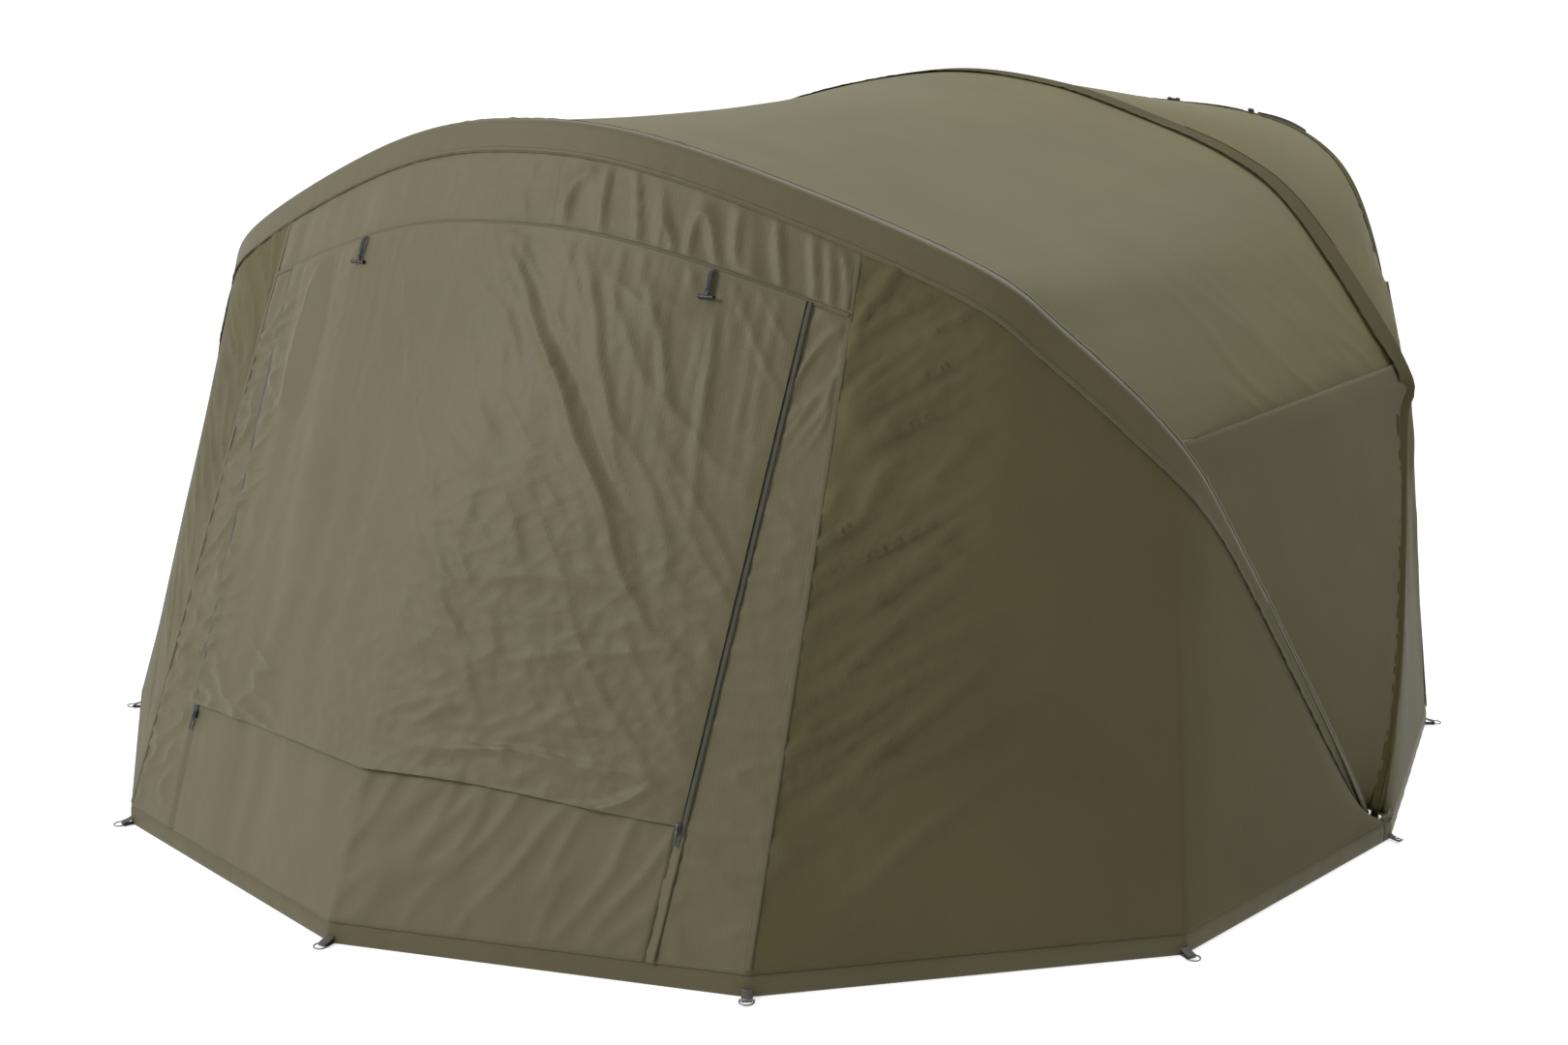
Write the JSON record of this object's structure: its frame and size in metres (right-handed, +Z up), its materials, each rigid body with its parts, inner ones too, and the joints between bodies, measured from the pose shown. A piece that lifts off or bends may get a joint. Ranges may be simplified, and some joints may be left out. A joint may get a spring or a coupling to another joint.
{
  "type": "fishing bivvy shelter",
  "caption": "Dome fishing shelter: an olive fabric shell on folding hoops that share one pivot line, with a zipped door flap, toggles and pegging rings.",
  "frame": {"origin": "centre of the footprint at ground level, under the hoops' pivot line", "axes": "+X across the shelter to the right as seen from inside the door looking back, -Y out of the door, +Z up"},
  "size_m": [3.046, 2.98, 1.5198],
  "materials": {
    "olive_front": "matt proofed nylon",
    "olive_side": "matt proofed nylon",
    "olive_roof": "matt proofed nylon",
    "olive_sleeve": "matt proofed nylon",
    "webbing": "woven webbing",
    "elastic": "braided elastic",
    "zip": "coil zip on woven tape",
    "pole": "satin black coating",
    "steel": "plated",
    "nylon": "moulded"
  },
  "bodies": {
    "shelter": {"hub_left": "nylon", "hub_right": "nylon", "pivot_bolt_left": "steel", "pivot_bolt_right": "steel", "middle_pole_left": "pole", "middle_pole_right": "pole", "bar_bracket_left": "nylon", "bar_bracket_right": "nylon", "side_panel_left": "olive_side", "side_panel_right": "olive_side", "rear_side_left": "olive_side", "rear_side_right": "olive_side", "middle_peak_joint": "steel", "middle_sleeve": "olive_sleeve", "front_roof": "olive_roof", "rear_roof": "olive_roof", "back_wall": "olive_front", "rear_hem": "webbing"},
    "front_hoop": {"front_pole_left": "pole", "front_pole_right": "pole", "front_peak_joint": "steel", "front_sleeve": "olive_sleeve", "valance": "olive_front", "door_strip_left": "olive_front", "door_strip_right": "olive_front", "wing_left": "olive_side", "wing_right": "olive_side", "zip_left": "zip", "zip_right": "zip", "bar_peg_left": "nylon", "bar_peg_right": "nylon"},
    "front_edge": {"front_hem": "webbing", "sill": "olive_front"},
    "door": {"door_flap": "olive_front", "toggle_loop_left": "elastic", "toggle_loop_right": "elastic"},
    "rear_hoop": {"rear_pole_left": "pole", "rear_pole_right": "pole", "rear_peak_joint": "steel", "rear_sleeve": "olive_sleeve", "rear_strap": "nylon", "rear_webbing": "webbing", "rear_buckle": "nylon", "rear_keeper": "nylon"},
    "toggle_left": {"toggle_left": "nylon"},
    "slider_left": {"zip_slider_left": "steel"},
    "bar_left": {"tension_bar_left": "pole"},
    "toggle_right": {"toggle_right": "nylon"},
    "slider_right": {"zip_slider_right": "steel"},
    "bar_right": {"tension_bar_right": "pole"},
    "ring_front_middle": {"ring_front_middle": "steel"},
    "ring_back_middle": {"ring_back_middle": "steel"},
    "ring_door_seam_left": {"ring_door_seam_left": "steel"},
    "ring_wing_left": {"ring_wing_left": "steel"},
    "ring_rear_side_left": {"ring_rear_side_left": "steel"},
    "ring_back_seam_left": {"ring_back_seam_left": "steel"},
    "ring_door_seam_right": {"ring_door_seam_right": "steel"},
    "ring_wing_right": {"ring_wing_right": "steel"},
    "ring_rear_side_right": {"ring_rear_side_right": "steel"},
    "ring_back_seam_right": {"ring_back_seam_right": "steel"}
  },
  "joints": [
    {"name": "front_fold", "type": "hinge", "parent": "shelter", "child": "front_hoop", "pos_m": [0, 0, 0.03], "axis": [-1, 0, 0], "range_deg": [0, 58], "deforming": ["front_roof", "side_panel_left", "side_panel_right", "wing_left", "wing_right", "valance", "door_strip_left", "door_strip_right", "zip_left", "zip_right", "door_flap"]},
    {"name": "front_gather", "type": "hinge", "parent": "front_hoop", "child": "front_edge", "pos_m": [0, 0, 0.03], "axis": [-1, 0, 0], "range_deg": [0, 44]},
    {"name": "rear_fold", "type": "hinge", "parent": "shelter", "child": "rear_hoop", "pos_m": [0, 0, 0.03], "axis": [1, 0, 0], "range_deg": [0, 7], "deforming": ["rear_roof", "rear_side_left", "rear_side_right", "back_wall"]},
    {"name": "door_swing", "type": "hinge", "parent": "front_hoop", "child": "door", "pos_m": [0, -0.92532, 1.2376], "axis": [-1, 0, 0], "range_deg": [0, 100]},
    {"name": "bar_fold_left", "type": "hinge", "parent": "shelter", "child": "bar_left", "pos_m": [-1.2575, 0.60719, 0.87188], "axis": [1, 0, 0], "range_deg": [0, 45]},
    {"name": "toggle_swing_left", "type": "hinge", "parent": "door", "child": "toggle_left", "pos_m": [-0.35462, -0.90279, 1.18296], "axis": [-1, 0, 0], "range_deg": [0, 110]},
    {"name": "zip_slide_left", "type": "slide", "parent": "front_edge", "child": "slider_left", "axis": [-0.032, 0.399, 0.9164], "range_m": [0, 0.77]},
    {"name": "bar_fold_right", "type": "hinge", "parent": "shelter", "child": "bar_right", "pos_m": [1.2575, 0.60719, 0.87188], "axis": [1, 0, 0], "range_deg": [0, 45]},
    {"name": "toggle_swing_right", "type": "hinge", "parent": "door", "child": "toggle_right", "pos_m": [0.44859, -0.88419, 1.1584], "axis": [-1, 0, 0], "range_deg": [0, 110]},
    {"name": "zip_slide_right", "type": "slide", "parent": "front_edge", "child": "slider_right", "axis": [0.032, 0.399, 0.9164], "range_m": [0, 0.77]},
    {"name": "ring_swing_front_middle", "type": "hinge", "parent": "front_edge", "child": "ring_front_middle", "pos_m": [0, -1.47, 0.0045], "axis": [-1, 0, 0], "range_deg": [0, 120]},
    {"name": "ring_swing_back_middle", "type": "hinge", "parent": "shelter", "child": "ring_back_middle", "pos_m": [0, 1.47, 0.0045], "axis": [1, 0, 0], "range_deg": [0, 120]},
    {"name": "ring_swing_door_seam_left", "type": "hinge", "parent": "front_edge", "child": "ring_door_seam_left", "pos_m": [-0.75471, -1.26375, 0.0045], "axis": [-0.875, 0.4841, 0], "range_deg": [0, 120]},
    {"name": "ring_swing_wing_left", "type": "hinge", "parent": "front_edge", "child": "ring_wing_left", "pos_m": [-1.33548, -0.72919, 0.0045], "axis": [-0.5107, 0.8597, 0], "range_deg": [0, 120]},
    {"name": "ring_swing_rear_side_left", "type": "hinge", "parent": "shelter", "child": "ring_rear_side_left", "pos_m": [-1.41354, 0.76408, 0.0045], "axis": [0.5045, 0.8634, 0], "range_deg": [0, 120]},
    {"name": "ring_swing_back_seam_left", "type": "hinge", "parent": "shelter", "child": "ring_back_seam_left", "pos_m": [-0.75395, 1.26415, 0.0045], "axis": [0.8973, 0.4414, 0], "range_deg": [0, 120]},
    {"name": "ring_swing_door_seam_right", "type": "hinge", "parent": "front_edge", "child": "ring_door_seam_right", "pos_m": [0.75471, -1.26375, 0.0045], "axis": [-0.875, -0.4841, 0], "range_deg": [0, 120]},
    {"name": "ring_swing_wing_right", "type": "hinge", "parent": "front_edge", "child": "ring_wing_right", "pos_m": [1.33548, -0.72919, 0.0045], "axis": [-0.5107, -0.8597, 0], "range_deg": [0, 120]},
    {"name": "ring_swing_rear_side_right", "type": "hinge", "parent": "shelter", "child": "ring_rear_side_right", "pos_m": [1.41354, 0.76408, 0.0045], "axis": [0.5045, -0.8634, 0], "range_deg": [0, 120]},
    {"name": "ring_swing_back_seam_right", "type": "hinge", "parent": "shelter", "child": "ring_back_seam_right", "pos_m": [0.75395, 1.26415, 0.0045], "axis": [0.8973, -0.4414, 0], "range_deg": [0, 120]}
  ],
  "couplings": [
    {"joint": "front_gather", "follows": "front_fold", "ratio": 0.75},
    {"joint": "bar_fold_left", "follows": "front_fold", "ratio": 0.75},
    {"joint": "bar_fold_right", "follows": "front_fold", "ratio": 0.75}
  ]
}
